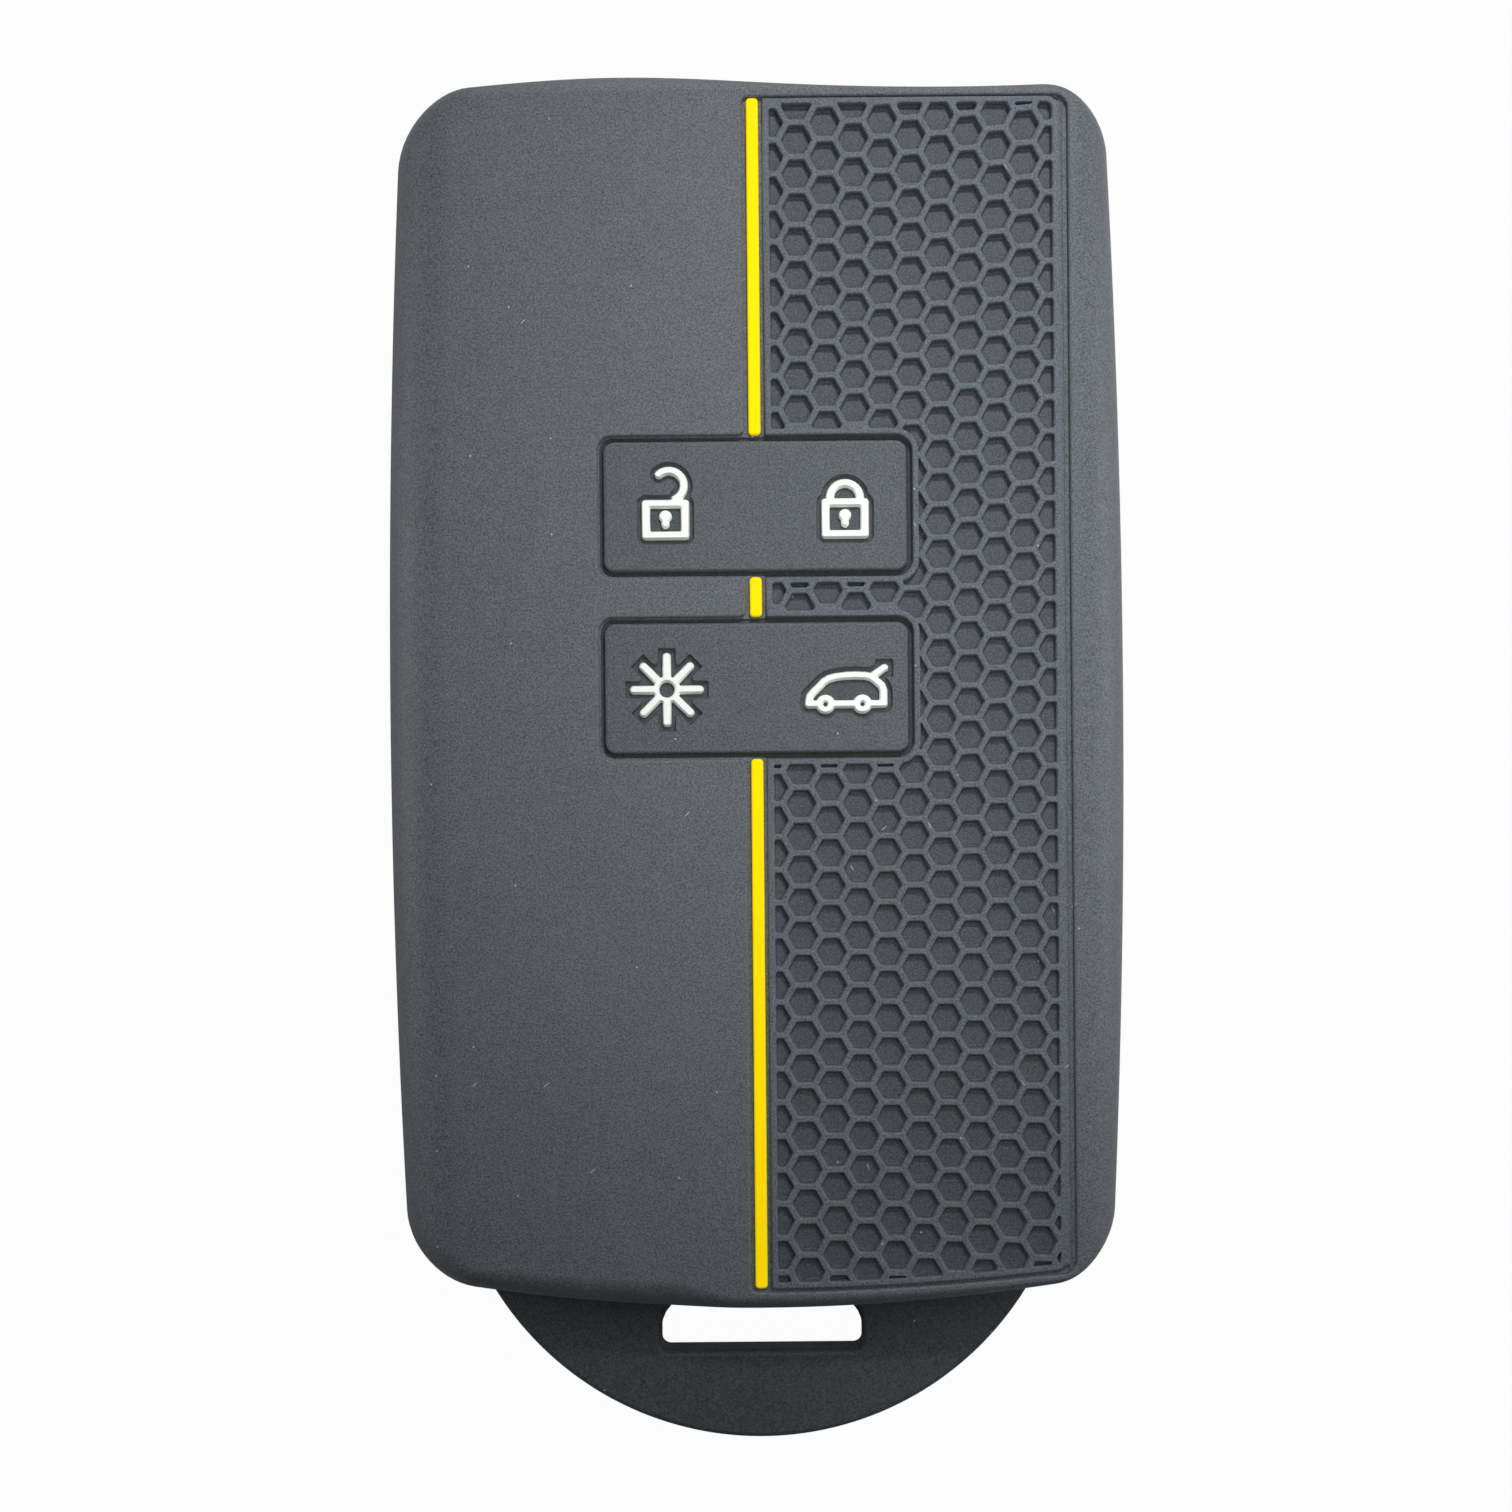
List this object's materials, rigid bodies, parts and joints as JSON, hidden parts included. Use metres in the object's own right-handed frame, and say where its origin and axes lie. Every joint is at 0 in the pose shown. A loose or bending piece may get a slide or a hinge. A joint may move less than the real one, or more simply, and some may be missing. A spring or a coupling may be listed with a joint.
{
  "type": "key fob cover",
  "caption": "Moulded silicone cover for a hands-free key card, with rocking button pads, a honeycomb panel, a coloured line and a slotted key-ring tab.",
  "frame": {"origin": "under the middle of the whole cover, tab included, at the level of the back face", "axes": "+Z out of the front face, +Y from the key-ring tab to the far end, +X to the honeycomb side"},
  "size_m": [0.0556, 0.104, 0.015],
  "materials": {
    "silicone_cover": "matt moulded silicone, dark grey",
    "silicone_honeycomb": "matt moulded silicone with raised walls, dark grey",
    "silicone_pad": "matt moulded silicone, dark grey",
    "silicone_web": "thin matt silicone, near black",
    "silicone_tab": "matt moulded silicone, darker grey",
    "silicone_white": "matt white silicone",
    "silicone_yellow": "matt yellow silicone"
  },
  "bodies": {
    "cover": {"cover_shell": "silicone_cover", "back_lip": "silicone_cover", "honeycomb_panel": "silicone_honeycomb", "stripe_upper": "silicone_yellow", "stripe_middle": "silicone_yellow", "stripe_lower": "silicone_yellow", "pad_web_upper": "silicone_web", "pad_web_lower": "silicone_web", "tab_root": "silicone_tab"},
    "upper_rocker": {"rocker_pad_upper": "silicone_pad", "unlock_icon": "silicone_white", "unlock_keyhole": "silicone_white", "lock_icon": "silicone_white", "lock_keyhole": "silicone_white"},
    "lower_rocker": {"rocker_pad_lower": "silicone_pad", "light_icon": "silicone_white", "trunk_icon": "silicone_white"},
    "ring_tab": {"keyring_tab": "silicone_tab"}
  },
  "joints": [
    {"name": "upper_pad_rock", "type": "hinge", "parent": "cover", "child": "upper_rocker", "pos_m": [0, 0.0193, 0.01415], "axis": [0, 1, 0], "range_deg": [-2.5, 2.5], "stiffness_Nm_per_rad": 0.35, "deforming": ["pad_web_upper"]},
    {"name": "lower_pad_rock", "type": "hinge", "parent": "cover", "child": "lower_rocker", "pos_m": [0, 0.0058, 0.01415], "axis": [0, 1, 0], "range_deg": [-2.5, 2.5], "stiffness_Nm_per_rad": 0.35, "deforming": ["pad_web_lower"]},
    {"name": "tab_flex", "type": "hinge", "parent": "cover", "child": "ring_tab", "pos_m": [0, -0.0418, 0.006], "axis": [1, 0, 0], "range_deg": [-25, 25], "stiffness_Nm_per_rad": 0.08, "deforming": ["tab_root"]}
  ]
}
